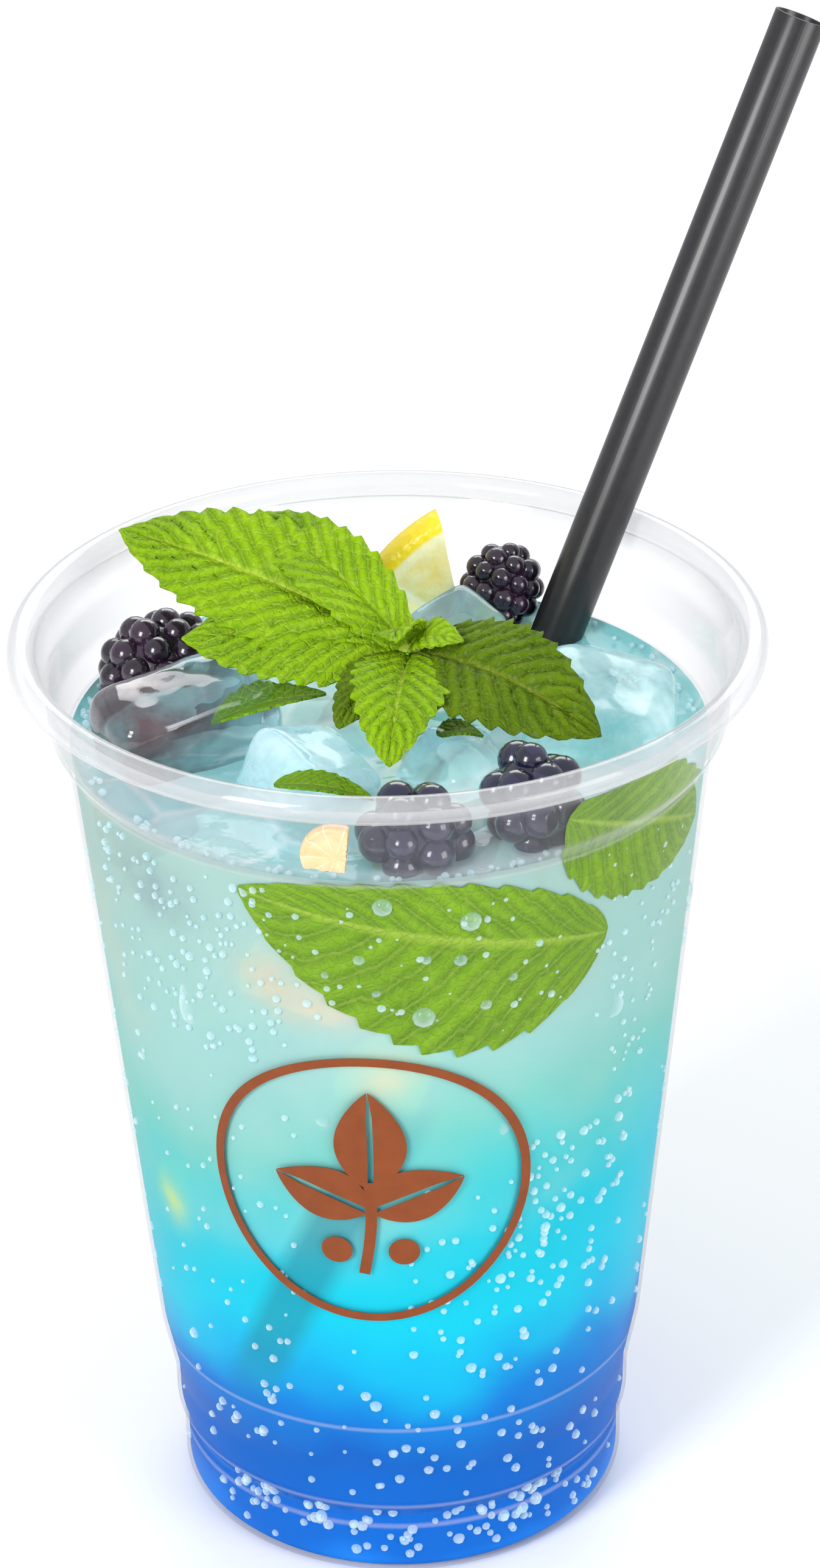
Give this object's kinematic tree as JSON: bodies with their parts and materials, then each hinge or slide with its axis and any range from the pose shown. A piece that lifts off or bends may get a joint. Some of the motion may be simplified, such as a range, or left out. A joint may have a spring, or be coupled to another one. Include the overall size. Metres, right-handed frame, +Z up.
{
  "type": "iced mojito drink in a clear take-away cup",
  "caption": "Clear take-away cup filled with a layered blue iced drink, topped with a mint sprig, dark berries, ice and lemon, with a leaning drinking straw.",
  "frame": {"origin": "centre of the foot ring, on the surface that the cup stands on", "axes": "+Z up along the cup's axis; -Y is the printed front; the straw leans towards +X and +Y"},
  "size_m": [0.1074, 0.098, 0.1961],
  "materials": {
    "cup_wall": "clear thin plastic, glossy, with a rolled rim",
    "drink": "sparkling drink, pale mint at the top to deep blue at the foot",
    "straw": "satin black",
    "mint": "fresh leaf with veins",
    "lemon": "waxy rind and wet flesh",
    "berry": "shiny dark drupelets",
    "ice": "wet clear ice",
    "print": "brown ink"
  },
  "bodies": {
    "root": {"cup": "cup_wall", "drink": "drink", "straw": "straw", "mint_sprig": "mint", "lemon_piece": "lemon", "berry_left": "berry", "berry_back": "berry", "berry_front_a": "berry", "berry_front_b": "berry", "ice_left": "ice", "ice_right": "ice", "ice_front_a": "ice", "ice_front_b": "ice", "ice_back": "ice"}
  },
  "joints": []
}
